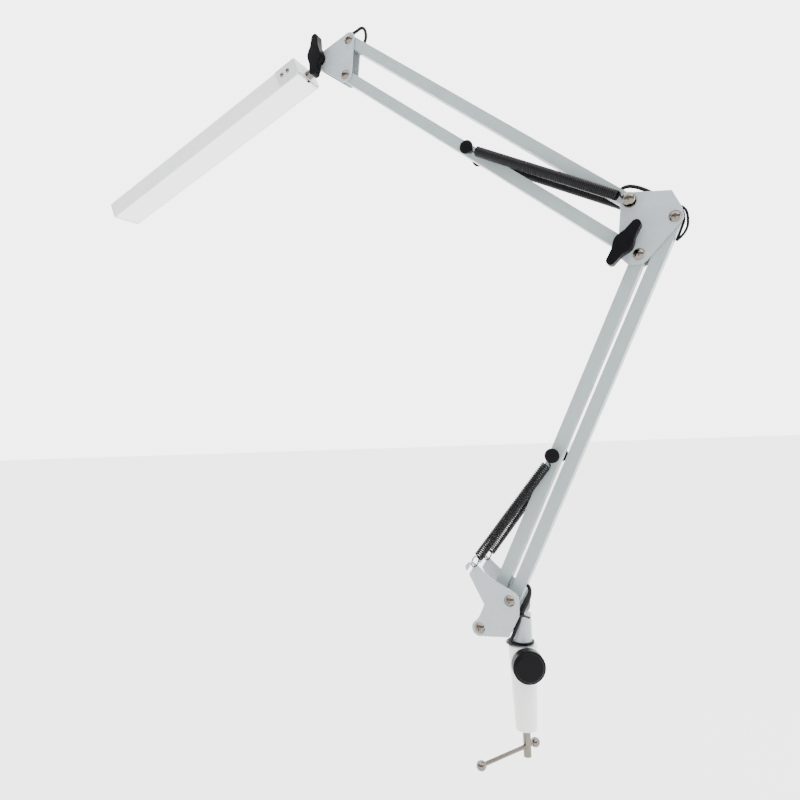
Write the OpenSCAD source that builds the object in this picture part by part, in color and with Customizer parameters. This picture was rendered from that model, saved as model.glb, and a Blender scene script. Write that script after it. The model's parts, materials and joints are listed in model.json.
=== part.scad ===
// Spring-balanced swing-arm lamp with an LED bar head and a bench clamp.
// Millimetres. The origin is the middle of the upper jaw's pad, on the bench top:
// +Z is up, +Y points into the bench, and the arms swing in a plane that turns about the stem.

/* [Arms] */
// Pivot to pivot length of the lower arm
lower_len = 385; // [300:5:450]
// Lean of the lower arm from the horizontal at rest
lower_angle = 64.6; // [62:0.2:100]
// Pivot to pivot length of the upper arm
upper_len = 390; // [300:5:450]
// Direction of the upper arm at rest, from +X
upper_angle = 139.4; // [120:0.2:170]
// Side of the square arm tubes
bar = 12; // [11:0.5:12.5]
// Wall of the arm tubes
bar_wall = 1; // [0.8:0.1:1.2]

/* [Brackets] */
// Thickness of the bracket plates
plate = 1.5; // [1:0.1:1.5]
// Half the clear width between the base cheeks
base_half = 17.5; // [17:0.5:18]
// Outer diameter of the balance springs
spring_d = 10.5; // [9:0.5:10.5]
// Span of the elbow wing nut
wing_span = 46; // [38:1:46]

/* [Light head] */
// Length of the light bar
light_len = 346; // [250:1:450]
// Width of the light bar
light_w = 41.4; // [36:0.2:46]
// Height of the light bar
light_h = 20.5; // [18:0.5:24]
// Tilt of the light below the horizontal
light_tilt = 18.5; // [0:0.5:30]

/* [Clamp] */
// Distance from the stem's axis to the clamp screw's axis
reach = 36; // [34:1:40]
// Turn of the arms about the stem at rest
swivel_rest = -18; // [-30:1:30]
// Free height between the jaws without the pad
throat = 50; // [45:1:55]
// Diameter of the clamp screw
screw_d = 8; // [7:0.5:9]

/* [Cable] */
// Diameter of the cable
cable_d = 3.5; // [3:0.1:3.8]
// Straight length of the runs in the cable's hank
hank_run = 70; // [52:1:70]

/* [Hidden] */
$fn = 48;

PAINT = [0.74, 0.79, 0.79];
WHITE = [0.93, 0.93, 0.92];
BLACK = [0.07, 0.07, 0.08];
NICKEL = [0.78, 0.76, 0.72];
ZINC = [0.66, 0.67, 0.68];

// The clamp
top_z = 18;
foot_z = -12 - throat;
jaw_w = 20;
jaw_t = 9;
pad_t = 1.5;
post_top_r = 14;
post_foot_r = 10.25;
stem_r = 6.3;
lock_z = 5;
lock_way = 11;
lock_r = 3;
rod_z = -95.5;
rod_r = 2.15;
rod_far = 63;
rod_near = 11.6;
ball_r = 5;
screw_end = -106;
pad_top = -14;

// The arms, in their own plane: x across, z up, y away from the front
base_a = [-5, 63.6];
pair_gap = [31.8, 28.8];
base_b = base_a - pair_gap;
lower_way = [cos(lower_angle), sin(lower_angle)];
elbow_a = base_a + lower_len * lower_way;
elbow_b = elbow_a - pair_gap;
top_gap = [5.8, 40.7];
top_a = elbow_a + [-37.2, 21.4];
top_b = top_a - top_gap;
upper_way = [cos(upper_angle), sin(upper_angle)];
head_a = top_a + upper_len * upper_way;
head_b = head_a - top_gap;
tilt_at = head_a + [-40, -12.4];
bar_half = bar / 2;
cheek_in = bar_half + 0.4;
cheek_out = cheek_in + plate;
base_out = base_half + plate;
bolt_r = 2.5;
big_bolt_r = 3;
fit_gap = 0.06;
loose = 0.3;
spring_y = cheek_out + spring_d / 2 + 0.45;
hook_y = base_half + plate / 2;
low_pin = base_b + 185 * lower_way;
up_pin = top_b + 194 * upper_way;
hook_seat = base_a + [-37.3, 31.2];
hook_ring = 5.6;
wire_r = 0.7;

// The light head, in its own frame: -x along the light, z up, x zero at the tilt pivot
web_x = -25.6;
sheet_t = 1.2;
web_top = 14.3;
web_foot = -4.3;
flange_len = 30;
light_foot = web_top - light_h;
light_roll = 2.5;
near_x = web_x - sheet_t - 0.2;
far_x = web_x - light_len;

// The cable
cable_r = cable_d / 2;
hank_out = 4 * cable_d;
hank_x = -9.4;
hank_y = 60;
hank_w = 3 * cable_d + 0.2;

// ---- frames ----

// The plane of the arms, from its own axes to the clamp's
module in_arm() {
    translate([0, -reach, 0]) rotate([0, 0, swivel_rest]) children();
}

// The light head's frame
module in_light() {
    in_arm() translate([tilt_at.x, 0, tilt_at.y])
        rotate([0, -light_tilt, 0]) rotate([light_roll, 0, 0]) children();
}

// A point of the arm plane, with children's own z pointing to the front
module at(p, y = 0) {
    translate([p.x, y, p.y]) rotate([90, 0, 0]) children();
}

// A flat outline drawn in the arm plane, filling y0 to y1
module slab(y0, y1) {
    translate([0, y1, 0]) rotate([90, 0, 0]) linear_extrude(y1 - y0) children();
}

// A round bore along the plane's normal
module bore(p, r) {
    at(p) cylinder(r = r, h = 80, center = true);
}

// ---- repeated pieces ----

// One arm tube from p, with round ears at both ends and an open square bore
module arm_tube(p, angle, len, bore_p, bore_q) {
    translate([p.x, 0, p.y]) rotate([0, -angle, 0]) difference() {
        union() {
            translate([0, -bar_half, -bar_half]) cube([len, bar, bar]);
            for (x = [0, len])
                translate([x, 0, 0]) rotate([90, 0, 0])
                    cylinder(r = bar_half, h = bar, center = true);
        }
        translate([-bar, bar_wall - bar_half, bar_wall - bar_half])
            cube([len + 2 * bar, bar - 2 * bar_wall, bar - 2 * bar_wall]);
        translate([0, 0, 0]) rotate([90, 0, 0]) cylinder(r = bore_p, h = 40, center = true);
        translate([len, 0, 0]) rotate([90, 0, 0]) cylinder(r = bore_q, h = 40, center = true);
        children();
    }
}

// A cable hole in the tube's wall, x from the first pivot, side 1 for the upper wall
module wall_hole(x, side) {
    translate([x, 0, side * bar_half]) cylinder(r = cable_r + 0.5, h = 4, center = true);
}

// A domed screw head standing on z = 0, with a cross recess
module domed_head(r, h) {
    ball = (r * r + h * h) / (2 * h);
    difference() {
        intersection() {
            translate([0, 0, h - ball]) sphere(r = ball);
            cylinder(r = r, h = h);
        }
        for (turn = [0, 90])
            rotate([0, 0, turn]) translate([-r * 0.42, -0.45, h - 1.3])
                cube([r * 0.84, 0.9, 2]);
    }
}

// A domed screw whose head stands on the front face at depth y, with a shank to the back
module cheek_screw(p, front, back, r) {
    at(p, -front) domed_head(5.5, 3);
    at(p, back) cylinder(r = r, h = front + back);
}

// A lock nut on the back face at depth y, behind its washer
module lock_nut(p, y, r) {
    translate([p.x, y, p.y]) rotate([-90, 0, 0]) difference() {
        union() {
            cylinder(r = 5.4, h = 0.9);
            translate([0, 0, 0.9]) cylinder(r = 4.6, h = 3.6, $fn = 6);
            translate([0, 0, 4.5]) cylinder(r = 3.5, h = 1.2);
        }
        translate([0, 0, -1]) cylinder(r = r + 0.05, h = 12);
    }
}

// Out along the lock screw, a little to the right of square to the bench
module at_lock(out) {
    translate([0, -reach, lock_z]) rotate([0, 0, lock_way]) rotate([90, 0, 0])
        translate([0, 0, out]) children();
}

// A wing nut on z = 0: a hub, and two wings whose span lies along x
module wing_nut(span, bore_r) {
    wing_z = 4.4;
    wing_h = 9.6;
    difference() {
        union() {
            cylinder(r = 7.6, h = wing_z + 0.6);
            translate([0, 0, wing_z]) linear_extrude(wing_h) union() {
                circle(r = 9);
                for (side = [0, 180]) rotate([0, 0, side]) {
                    polygon([[0, -9], [4, -8.2], [10, -5.6], [span / 2 - 4.3, -4.3],
                        [span / 2 - 4.3, 4.3], [10, 5.6], [4, 8.2], [0, 9]]);
                    translate([span / 2 - 4.3, 0]) circle(r = 4.3);
                }
            }
        }
        translate([0, 0, -1]) cylinder(r = bore_r, h = 10.5);
    }
}

// A coil spring's outer shape from p to q, both [x, y, z] in the arm plane
module spring_body(p, q) {
    way = q - p;
    translate(p) rotate([0, acos(way.z / norm(way)), atan2(way.y, way.x)])
        cylinder(r = spring_d / 2, h = norm(way));
}

// A wire ring at p whose plane holds the spring's direction and leans by turn
module hook_loop(p, angle, turn, r) {
    translate(p) rotate([0, -angle, 0]) rotate([90 + turn, 0, 0])
        rotate_extrude($fn = 40) translate([r, 0]) circle(r = wire_r, $fn = 16);
}

// A pin through a tube, with a cap at both ends
module spring_pin(p) {
    at(p) cylinder(r = bolt_r, h = 2 * spring_y + 8, center = true);
}

module pin_caps(p) {
    for (side = [-1, 1])
        translate([p.x, side * (spring_y + 4.2), p.y]) rotate([90, 0, 0]) difference() {
            union() {
                cylinder(r = 7, h = 2.4, center = true);
                translate([0, 0, side * 0.4 - side]) cylinder(r = 5.6, h = 2.8, center = true);
            }
            translate([0, 0, side * 5.2]) cylinder(r = bolt_r, h = 10, center = true);
        }
}

// One balance spring beside a tube, side -1 in front: from a ring at p to a ring on the pin q
function at_depth(p, y) = [p.x, y, p.y];
function way_of(p, q) = (q - p) / norm(q - p);

module pin_to_pin_spring(p, q, side) {
    y = side * spring_y;
    way = way_of(p, q);
    a = at_depth(p + 11 * way, y);
    b = at_depth(q - 11 * way, y);
    spring_body(a, b);
    for (end = [[p, 0.5, 1], [q, 0.9, -1]]) {
        ring = end[0] + end[2] * end[1] * way;
        leg = ring + end[2] * 4.3 * way;
        translate(at_depth(ring, y)) rotate([90, 0, 0])
            rotate_extrude($fn = 40) translate([4.3, 0]) circle(r = wire_r, $fn = 16);
        wire(at_depth(leg, y), at_depth(end[0] + end[2] * 11.4 * way, y));
    }
}

// A short straight wire
module wire(p, q) {
    way = q - p;
    translate(p) rotate([0, acos(way.z / norm(way)), atan2(way.y, way.x)])
        cylinder(r = wire_r, h = norm(way), $fn = 16);
}

module hook_to_pin_spring(side) {
    way = way_of(hook_seat, low_pin);
    angle = atan2(way.y, way.x);
    ring = hook_seat + hook_ring * way;
    y0 = side * hook_y;
    y1 = side * spring_y;
    a = at_depth(hook_seat + 11.3 * way, y0 + (y1 - y0) * 0.1);
    b = at_depth(low_pin - 11 * way, y1);
    spring_body(a, b);
    hook_loop(at_depth(ring, y0), angle, 45, hook_ring);
    last = low_pin - 0.9 * way;
    translate(at_depth(last, y1)) rotate([90, 0, 0])
        rotate_extrude($fn = 40) translate([4.3, 0]) circle(r = wire_r, $fn = 16);
    wire(at_depth(last - 4.3 * way, y1), at_depth(low_pin - 11.4 * way, y1));
}

// ---- cables ----

// A smooth line through the points, n steps to each stretch
function ahead(a, b, c, d, t) = 0.5 * (2 * b + (c - a) * t
    + (2 * a - 5 * b + 4 * c - d) * t * t + (3 * b - a - 3 * c + d) * t * t * t);
function smooth(p, n) = let (last = len(p) - 1) concat(
    [for (i = [0 : last - 1], k = [0 : n - 1])
        ahead(p[max(i - 1, 0)], p[i], p[i + 1], p[min(i + 2, last)], k / n)],
    [p[last]]);
function tangents(p) = let (last = len(p) - 1)
    [for (i = [0 : last]) let (d = p[min(i + 1, last)] - p[max(i - 1, 0)]) d / norm(d)];
function sides(t, n, i = 0, found = []) = i == len(t) ? found :
    let (flat = n - (n * t[i]) * t[i], unit = flat / norm(flat))
    sides(t, unit, i + 1, concat(found, [unit]));

// A round cable along a line of points, with eight sides
module cable(line, r, first) {
    t = tangents(line);
    n = sides(t, first);
    count = len(line);
    rings = [for (i = [0 : count - 1], k = [0 : 7])
        line[i] + r * (cos(45 * k) * n[i] + sin(45 * k) * cross(t[i], n[i]))];
    walls = [for (i = [0 : count - 2], k = [0 : 7])
        let (a = 8 * i + k, b = 8 * i + (k + 1) % 8) [a, a + 8, b + 8, b]];
    near = [for (k = [0 : 7]) k];
    far = [for (k = [7 : -1 : 0]) 8 * (count - 1) + k];
    polyhedron(points = rings, faces = concat(walls, [near, far]), convexity = 6);
}

// Lamp cable routes in the arm plane, [x, y, z]
lead_route = [[-208, 0, 681.6], [-204, 0, 686], [-198, 0, 689], [-191, 0, 691.5], [-184.2, 0, 694]];
head_route = [[-184, 0, 694], [-178, 0, 696], [-172, 0, 697], [-166, 0, 698.5],
    [-160.5, 0, 700], [-156.4, 0, 697.6], [-154.6, 0, 692.5], [-154.4, 0, 687],
    [-155.8, 0, 682.4], [-158.4, 0, 679.4]];
top_route = [[113.5, 0, 446.4], [115.4, 0, 448.2], [118.6, 0, 449.4], [123.4, 0, 449.2],
    [128.8, 0, 447.2], [134.6, 0, 443.9], [140, 0, 440], [150, 0, 431], [160, 0, 423]];
side_route = [[160.2, 0, 422.8], [165.6, 0, 419], [169, 0, 413], [169.4, 0, 406],
    [167.4, 0, 399.2], [164.2, 0, 394.2], [160.4, 0, 391.9], [156.2, 0, 393.3]];
base_route = [[5.6, 0, 76.3], [8.6, -0.4, 74.6], [10.3, -1.6, 71.2], [9.8, -3.8, 66.4],
    [7.6, -7.2, 60.6], [5.2, -10.4, 55], [3.4, -12.4, 50]];
stem_route = [[3.4, -12.4, 50], [1.6, -13.2, 43], [-1.4, -13.8, 36.5], [-5, -13.9, 29],
    [-8.6, -12.3, 23.6], [-12, -8.4, 20.8], [-14.2, -2, 20.1], [-13.3, 5.5, 20], [-9.6, 11.4, 20],
    [-6, 15.2, 19.2], [-4.4, 19.2, 16.4], [-4.6, 22.6, 13.6], [-5.7, 25.6, 12.5],
    [-7.9, 32.5, 12.35]];

// The free cord, in the clamp's axes: from the jaw's guide down to the bench and into the hank
cord_route = [[2.5, -2.5, 12.35], [2.5, 5, 12.35], [2.3, 12, 12.35], [1.6, 18.5, 11.7],
    [0, 25, 9], [-2, 31.5, 5.6], [-3.8, 38, 3.1], [-5.2, 45, 1.9], [-5.85, 52, 1.75],
    [-5.85, 62, 1.75]];
// The cord's tail, out of the hank's near fold, beside it and on to the plug
tail_route = [[-4.4, 50.5, 7], [-2.6, 57, 5.6], [-1.5, 65, 4], [-1.4, 75, 2.2],
    [-1.4, 86, 1.75], [-1.4, 100, 1.75], [-1.4, 114, 1.75], [-1.9, 125, 1.75],
    [-3.8, 135.5, 1.9], [-6.6, 144.5, 2.6], [-8.8, 152.5, 3.4], [-9.4, 159, 3.75],
    [-9.4, 164, 3.75]];

module base_cable() {
    color(BLACK) in_arm() cable(smooth(base_route, 2), cable_r, [0, 1, 0]);
}

module stem_cable() {
    color(BLACK) in_arm() cable(smooth(stem_route, 2), cable_r, [0, 1, 0]);
}

module head_lead() {
    color(BLACK) in_arm() cable(smooth(lead_route, 2), cable_r, [0, 1, 0]);
}

module head_cable() {
    color(BLACK) in_arm() cable(smooth(head_route, 2), cable_r, [0, 1, 0]);
}

module elbow_cable_top() {
    color(BLACK) in_arm() cable(smooth(top_route, 2), cable_r, [0, 1, 0]);
}

module elbow_cable_side() {
    color(BLACK) in_arm() cable(smooth(side_route, 2), cable_r, [0, 1, 0]);
}

// The run inside an arm tube, from x0 to x1 along it, turning up to the wall holes at both ends
module inner_cable(p, angle, x0, x1, side0, side1) {
    line = [[x0, 0, side0 * 2.2], [x0 + 2.5, 0, side0 * 1.3], [x0 + 7, 0, 0],
        [(x0 + x1) / 2, 0, 0], [x1 - 7, 0, 0], [x1 - 2.5, 0, side1 * 1.3],
        [x1, 0, side1 * 2.2]];
    translate([p.x, 0, p.y]) rotate([0, -angle, 0]) cable(line, cable_r, [0, 1, 0]);
}

module upper_cable() {
    color(BLACK) in_arm()
        inner_cable(top_a, upper_angle, 16, upper_len - 16, -1, -1);
}

module lower_cable() {
    color(BLACK) in_arm()
        inner_cable(base_a, lower_angle, 16, lower_len - 18, -1, -1);
}

module cable_tie() {
    color(BLACK) in_arm() translate([3.4, -12.4, 50]) rotate([12, 14, 0]) {
        difference() {
            cylinder(r = 3.2, h = 2.6, center = true);
            cylinder(r = cable_r + 0.05, h = 4, center = true);
        }
        translate([3, -1.2, -0.6]) cube([6.5, 2.2, 1.1]);
    }
}

module cord_tube() {
    color(BLACK) {
        cable(smooth(cord_route, 2), cable_r, [1, 0, 0]);
        cable(smooth(tail_route, 2), cable_r, [1, 0, 0]);
    }
}

// The hank: upright runs with round folds, standing on the bench
module cord_hank() {
    color(BLACK) translate([hank_x + hank_w / 2, hank_y, hank_out + cable_r])
        rotate([0, -90, 0]) linear_extrude(hank_w) {
            translate([-hank_out - cable_r, 0]) square([2 * hank_out + cable_d, hank_run]);
            for (y = [0, hank_run]) translate([0, y]) circle(r = hank_out + cable_r);
        }
}

module hank_tie() {
    color(BLACK) translate([hank_x, hank_y + hank_run / 2, hank_out + cable_r])
        difference() {
            cube([hank_w + 1.6, 6, 2 * hank_out + cable_d + 1.6], center = true);
            cube([hank_w, 8, 2 * hank_out + cable_d], center = true);
            translate([0, 0, -hank_out - cable_r - 1]) cube([60, 8, 2], center = true);
        }
}

module plug_body() {
    color(BLACK) translate([hank_x, 163, 3.75]) rotate([-90, 0, 0]) {
        cylinder(r1 = 2.3, r2 = 3.4, h = 9);
        translate([-6, -3.75, 9]) cube([12, 7.5, 24]);
    }
}

module plug_shell() {
    color(NICKEL) translate([hank_x, 196, 3.75]) rotate([-90, 0, 0]) difference() {
        translate([-6, -2.25, 0]) cube([12, 4.5, 14]);
        translate([-5.6, -1.85, 1]) cube([11.2, 2, 14]);
    }
}

// ---- the clamp ----

module jaw_outline() {
    translate([-jaw_w / 2, -reach]) square([jaw_w, reach]);
    translate([0, 2]) circle(r = jaw_w / 2 + 1);
}

module clamp_frame() {
    color(WHITE) difference() {
        union() {
            translate([0, -reach, foot_z])
                cylinder(r1 = post_foot_r, r2 = post_top_r, h = top_z - foot_z);
            translate([0, 0, pad_t]) linear_extrude(jaw_t) jaw_outline();
            translate([0, 0, foot_z]) linear_extrude(12) jaw_outline();
            translate([3, 0, 0]) rotate([0, -90, 0]) linear_extrude(6)
                polygon([[8, -reach], [16, -reach], [16, -21], [10.4, -12], [8, -12]]);
            translate([-1.5, -8, 10.3]) cube([8, 5.5, 6]);
        }
        translate([0, -reach, -20]) cylinder(r = stem_r + fit_gap, h = 60);
        at_lock(0) cylinder(r = lock_r + fit_gap, h = 40);
        translate([0, 0, foot_z - 1]) cylinder(r = screw_d / 2 + fit_gap, h = 20);
        translate([2.5, 0, 12.35]) rotate([90, 0, 0]) cylinder(r = cable_r + 0.1, h = 9);
    }
}

module upper_pad() {
    color(BLACK) cylinder(r = 9, h = pad_t);
}

module pressure_pad() {
    color(NICKEL) difference() {
        union() {
            translate([0, 0, pad_top - 4]) cylinder(r = 9.5, h = 4);
            translate([0, 0, pad_top - 8]) cylinder(r = 6, h = 4.5);
        }
        translate([0, 0, pad_top - 9]) cylinder(r = lock_r + fit_gap, h = 7);
    }
}

module clamp_screw() {
    neck = pad_top - 8.3;
    color(NICKEL) difference() {
        union() {
            translate([0, 0, screw_end]) cylinder(r = screw_d / 2, h = neck - screw_end);
            translate([0, 0, neck - 1]) cylinder(r = lock_r, h = 7);
        }
        translate([0, 0, rod_z]) rotate([0, 90, 45])
            cylinder(r = rod_r + 0.08, h = 40, center = true);
    }
}

module tommy_bar() {
    color(NICKEL) translate([0, 0, rod_z]) rotate([0, 90, 45]) {
        translate([0, 0, -rod_far]) cylinder(r = rod_r, h = rod_far + rod_near);
        translate([0, 0, -rod_far]) sphere(r = ball_r);
        translate([0, 0, rod_near]) sphere(r = ball_r);
    }
}

module lock_tip() {
    color(WHITE) at_lock(stem_r + loose) cylinder(r = 2.6, h = 2.4);
}

module lock_screw() {
    color(NICKEL) at_lock(stem_r + 3) cylinder(r = lock_r, h = 9.5);
}

module lock_knob() {
    color(BLACK) at_lock(15.2) difference() {
        union() {
            cylinder(r = 7, h = 3);
            translate([0, 0, 2.4]) cylinder(r = 15.5, h = 11);
            translate([0, 0, 13.4]) cylinder(r1 = 14, r2 = 12.5, h = 1.6);
        }
        translate([0, 0, -1]) cylinder(r = lock_r, h = 4.6);
    }
}

// ---- the base bracket on its stem ----

module stem() {
    color(PAINT) in_arm() {
        translate([0, 0, -16]) cylinder(r = stem_r, h = 36);
        translate([0, 0, top_z + loose]) cylinder(r = 9.5, h = 29.7);
        translate([0, 0, 48]) cylinder(r1 = 9.5, r2 = 7, h = 2.6);
        translate([-15, -base_half, 33]) cube([9, 2 * base_half, 12]);
    }
}

module stem_collar() {
    color(BLACK) in_arm() translate([0, 0, top_z + 1.4]) difference() {
        cylinder(r = 11.6, h = 2.8);
        translate([0, 0, -1]) cylinder(r = 9.55, h = 6);
    }
}

// The base cheek: two pivots, and a horn with a slot that the spring hooks under
module base_outline() {
    difference() {
        union() {
            polygon([for (p = [[-41.2, 23.6], [-26, -5.8], [-31.5, -17.1], [-39.6, -28],
                [-32.5, -36.5], [-25, -36.2], [-2.3, -34.6], [8.7, -14.1], [9.7, 0],
                [4, 9], [-6.2, 14.3], [-17.6, 20], [-24.6, 25.5], [-31.5, 31.8],
                [-36, 34.8], [-41.3, 34.2], [-44.6, 30.4], [-43.9, 27.2]]) base_a + p]);
            translate(base_a) circle(r = 9.7);
            translate(base_b) circle(r = 8);
        }
        translate(hook_seat) circle(r = 1.8);
        translate(hook_seat) rotate(237) translate([0, -1.8]) square([12, 3.6]);
    }
}

module base_cheek(y0) {
    color(PAINT) in_arm() difference() {
        slab(y0, y0 + plate) base_outline();
        bore(base_a, bolt_r + 0.05);
        bore(base_b, bolt_r + 0.05);
    }
}

module base_cheek_front() {
    base_cheek(-base_out);
}

module base_cheek_rear() {
    base_cheek(base_half);
}

module base_spacers() {
    inner = bar_half + loose;
    color(ZINC) in_arm() for (p = [base_a, base_b], side = [-1, 1])
        translate([p.x, side * (base_half + inner) / 2, p.y]) rotate([90, 0, 0])
            difference() {
                cylinder(r = 4.5, h = base_half - inner, center = true);
                cylinder(r = bolt_r + 0.05, h = 40, center = true);
            }
}

module base_screws() {
    color(NICKEL) in_arm() for (p = [base_a, base_b])
        cheek_screw(p, base_out, base_out + 6.4, bolt_r);
}

module base_nuts() {
    color(NICKEL) in_arm() for (p = [base_a, base_b]) lock_nut(p, base_out, bolt_r);
}

// ---- the lower arm ----

module lower_bar_a() {
    color(PAINT) in_arm() arm_tube(base_a, lower_angle, lower_len,
        bolt_r + fit_gap, bolt_r + fit_gap) {
            wall_hole(16, -1);
            wall_hole(lower_len - 18, -1);
        }
}

module lower_bar_b() {
    color(PAINT) in_arm() arm_tube(base_b, lower_angle, lower_len,
        bolt_r + fit_gap, bolt_r + fit_gap)
            translate([185, 0, 0]) rotate([90, 0, 0])
                cylinder(r = bolt_r, h = 40, center = true);
}

module lower_spring_pin() {
    color(NICKEL) in_arm() spring_pin(low_pin);
}

module lower_spring_caps() {
    color(BLACK) in_arm() pin_caps(low_pin);
}

module lower_spring_front() {
    color(BLACK) in_arm() hook_to_pin_spring(-1);
}

module lower_spring_rear() {
    color(BLACK) in_arm() hook_to_pin_spring(1);
}

// ---- the elbow ----

// A round boss or hole through a plate that fills y0 to y1
module disc(p, r, y0, y1) {
    translate([p.x, y1, p.y]) rotate([90, 0, 0]) cylinder(r = r, h = y1 - y0);
}

module elbow_outline() {
    polygon([for (p = [[-45.2, 21.4], [-42, 27.8], [-37, 29.6], [-1.5, 24.2], [6.3, 7],
        [7, 0], [4.9, -5], [-25.6, -35.8], [-30, -38], [-39.6, -37.4], [-49.4, -27],
        [-48, -3.7]]) elbow_a + p]);
}

module elbow_plate(y0) {
    y1 = y0 + plate;
    color(PAINT) in_arm() difference() {
        union() {
            slab(y0, y1) elbow_outline();
            disc(elbow_a, 7.2, y0, y1);
            disc(elbow_b, 8.8, y0, y1);
            disc(top_a, 8.4, y0, y1);
        }
        bore(elbow_a, bolt_r + 0.05);
        bore(elbow_b, bolt_r + 0.05);
        bore(top_a, big_bolt_r + 0.05);
        bore(top_b, big_bolt_r + 0.05);
    }
}

module elbow_plate_front() {
    elbow_plate(-cheek_out);
}

module elbow_plate_rear() {
    elbow_plate(cheek_in);
}

// Two pivot screws, and the wing nut's bolt with its head at the back
module elbow_screws() {
    color(NICKEL) in_arm() {
        for (p = [elbow_a, elbow_b]) cheek_screw(p, cheek_out, cheek_out + 6.4, bolt_r);
        translate([top_b.x, cheek_out, top_b.y]) rotate([-90, 0, 0]) domed_head(5.5, 3);
        at(top_b, cheek_out) cylinder(r = big_bolt_r, h = 2 * cheek_out + 8);
    }
}

module elbow_nuts() {
    color(NICKEL) in_arm() for (p = [elbow_a, elbow_b]) lock_nut(p, cheek_out, bolt_r);
}

// The long pin that carries the top tube and both upper springs
module elbow_spring_pin() {
    head = spring_y + 2.2;
    color(NICKEL) in_arm() {
        at(top_a) cylinder(r = big_bolt_r, h = 2 * head, center = true);
        for (side = [-1, 1]) {
            translate([top_a.x, side * head, top_a.y]) rotate([-side * 90, 0, 0])
                domed_head(6, 3);
            translate([top_a.x, side * (cheek_out + 1.5), top_a.y]) rotate([90, 0, 0])
                cylinder(r = 6.2, h = 3, center = true);
        }
    }
}

module elbow_wing_nut() {
    color(BLACK) in_arm() at(top_b, -cheek_out - loose) rotate(51.5)
        wing_nut(wing_span, big_bolt_r + fit_gap);
}

// ---- the upper arm ----

module upper_bar_a() {
    color(PAINT) in_arm() arm_tube(top_a, upper_angle, upper_len,
        big_bolt_r + fit_gap, bolt_r + fit_gap) {
            wall_hole(16, -1);
            wall_hole(upper_len - 16, -1);
        }
}

module upper_bar_b() {
    color(PAINT) in_arm() arm_tube(top_b, upper_angle, upper_len,
        big_bolt_r + fit_gap, bolt_r + fit_gap)
            translate([194, 0, 0]) rotate([90, 0, 0])
                cylinder(r = bolt_r, h = 40, center = true);
}

module upper_spring_pin() {
    color(NICKEL) in_arm() spring_pin(up_pin);
}

module upper_spring_caps() {
    color(BLACK) in_arm() pin_caps(up_pin);
}

module upper_spring_front() {
    color(BLACK) in_arm() pin_to_pin_spring(top_a, up_pin, -1);
}

module upper_spring_rear() {
    color(BLACK) in_arm() pin_to_pin_spring(top_a, up_pin, 1);
}

// ---- the head bracket ----

module head_outline() {
    polygon([for (p = [[-41.6, -4.6], [-2.6, 7.6], [6, 4], [7.6, 0], [2.2, -41.3],
        [-0.4, -46.6], [-11, -46.9], [-45.4, -18.4]]) head_a + p]);
}

module head_cheek(y0) {
    y1 = y0 + plate;
    color(PAINT) in_arm() difference() {
        union() {
            slab(y0, y1) head_outline();
            disc(head_a, 8.2, y0, y1);
            disc(head_b, 8.2, y0, y1);
            disc(tilt_at, 8.2, y0, y1);
        }
        bore(head_a, bolt_r + 0.05);
        bore(head_b, bolt_r + 0.05);
        bore(tilt_at, big_bolt_r + 0.05);
    }
}

module head_cheek_front() {
    head_cheek(-cheek_out);
}

module head_cheek_rear() {
    head_cheek(cheek_in);
}

module head_screws() {
    color(NICKEL) in_arm() {
        for (p = [head_a, head_b]) cheek_screw(p, cheek_out, cheek_out + 6.4, bolt_r);
        translate([tilt_at.x, cheek_out, tilt_at.y]) rotate([-90, 0, 0]) domed_head(5.5, 3.6);
        at(tilt_at, cheek_out) cylinder(r = big_bolt_r, h = 2 * cheek_out + 8);
    }
}

module head_nuts() {
    color(NICKEL) in_arm() for (p = [head_a, head_b]) lock_nut(p, cheek_out, bolt_r);
}

module head_wing_nut() {
    color(BLACK) in_arm() at(tilt_at, -cheek_out - loose) rotate(84.5)
        wing_nut(48, big_bolt_r + fit_gap);
}

// ---- the light head ----

// The eye on the tilt bolt, with the hollow stud that the light rolls on
module knuckle() {
    color(NICKEL) in_light() difference() {
        union() {
            rotate([90 - light_roll, 0, 0]) cylinder(r = 6.6, h = 2 * bar_half, center = true);
            translate([web_x + loose, 0, 0]) rotate([0, 90, 0]) cylinder(r = 5.2, h = 21);
            translate([web_x - 8, 0, 0]) rotate([0, 90, 0]) cylinder(r = big_bolt_r, h = 12);
        }
        rotate([90 - light_roll, 0, 0])
            cylinder(r = big_bolt_r + fit_gap, h = 40, center = true);
    }
}

module knuckle_nut() {
    color(NICKEL) in_light() translate([web_x - sheet_t - loose - 4, 0, 0])
        rotate([0, 90, 0]) difference() {
            cylinder(r = 5.2, h = 4, $fn = 6);
            translate([0, 0, -1]) cylinder(r = big_bolt_r + 0.02, h = 8);
        }
}

// The four screw holes through the flanges and the housing's side walls
module bracket_holes() {
    for (x = [web_x - 13, web_x - 22])
        translate([x, 0, 5.6]) rotate([90, 0, 0]) cylinder(r = 1.5, h = 80, center = true);
}

module light_bracket() {
    flange_y = light_w / 2;
    color(WHITE) in_light() difference() {
        union() {
            translate([web_x - sheet_t, -flange_y - sheet_t, web_foot])
                cube([sheet_t, 2 * (flange_y + sheet_t), web_top - web_foot]);
            for (y = [-flange_y - sheet_t, flange_y])
                translate([web_x - flange_len, y, web_foot])
                    cube([flange_len, sheet_t, web_top - web_foot]);
        }
        translate([web_x, 0, 0]) rotate([0, 90, 0])
            cylinder(r = big_bolt_r + fit_gap, h = 10, center = true);
        bracket_holes();
    }
}

module bracket_screws() {
    face = light_w / 2 + sheet_t;
    color(NICKEL) in_light() for (x = [web_x - 13, web_x - 22], side = [-1, 1])
        translate([x, side * face, 5.6]) rotate([-side * 90, 0, 0]) {
            domed_head(2.9, 1.6);
            translate([0, 0, -sheet_t - 3]) cylinder(r = 1.5, h = sheet_t + 3);
        }
}

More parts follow.
